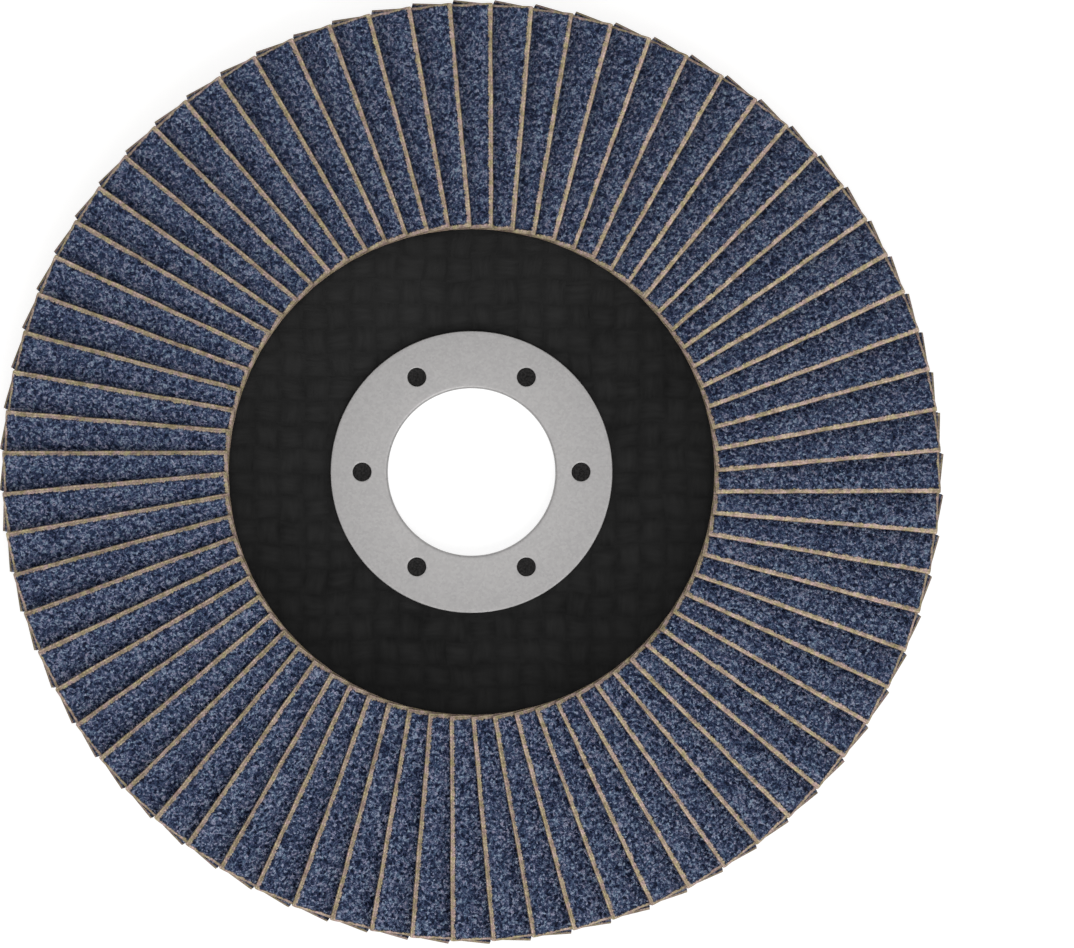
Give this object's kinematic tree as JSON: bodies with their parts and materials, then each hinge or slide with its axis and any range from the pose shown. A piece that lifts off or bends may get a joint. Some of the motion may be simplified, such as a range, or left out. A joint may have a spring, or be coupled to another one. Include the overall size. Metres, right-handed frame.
{
  "type": "flap disc",
  "caption": "Flap disc for an angle grinder: a fan of overlapping abrasive cloth flaps bonded to a dished glass-fibre plate with a steel ring round the bore.",
  "frame": {"origin": "on the bore's axis in the plane of the hub's back, on which the disc lies", "axes": "+Z along the bore's axis from the back towards the abrasive face; +X and +Y across the disc"},
  "size_m": [0.125, 0.125, 0.0125],
  "materials": {
    "abrasive_cloth": "blue-grey grit on tan cloth, rough",
    "backing_plate": "black resin-bonded glass fibre, satin",
    "steel_ring": "zinc-grey sheet steel, matt",
    "adhesive": "dark cured resin, matt"
  },
  "bodies": {
    "root": {"backing_plate": "backing_plate", "steel_ring": "steel_ring", "adhesive_bed": "adhesive", "flap_pair_01": "abrasive_cloth", "flap_pair_02": "abrasive_cloth", "flap_pair_03": "abrasive_cloth", "flap_pair_04": "abrasive_cloth", "flap_pair_05": "abrasive_cloth", "flap_pair_06": "abrasive_cloth", "flap_pair_07": "abrasive_cloth", "flap_pair_08": "abrasive_cloth", "flap_pair_09": "abrasive_cloth", "flap_pair_10": "abrasive_cloth", "flap_pair_11": "abrasive_cloth", "flap_pair_12": "abrasive_cloth", "flap_pair_13": "abrasive_cloth", "flap_pair_14": "abrasive_cloth", "flap_pair_15": "abrasive_cloth", "flap_pair_16": "abrasive_cloth", "flap_pair_17": "abrasive_cloth", "flap_pair_18": "abrasive_cloth", "flap_pair_19": "abrasive_cloth", "flap_pair_20": "abrasive_cloth", "flap_pair_21": "abrasive_cloth", "flap_pair_22": "abrasive_cloth", "flap_pair_23": "abrasive_cloth", "flap_pair_24": "abrasive_cloth", "flap_pair_25": "abrasive_cloth", "flap_pair_26": "abrasive_cloth", "flap_pair_27": "abrasive_cloth", "flap_pair_28": "abrasive_cloth", "flap_pair_29": "abrasive_cloth", "flap_pair_30": "abrasive_cloth", "flap_pair_31": "abrasive_cloth", "flap_pair_32": "abrasive_cloth", "flap_pair_33": "abrasive_cloth", "flap_pair_34": "abrasive_cloth", "flap_pair_35": "abrasive_cloth", "flap_pair_36": "abrasive_cloth"}
  },
  "joints": []
}
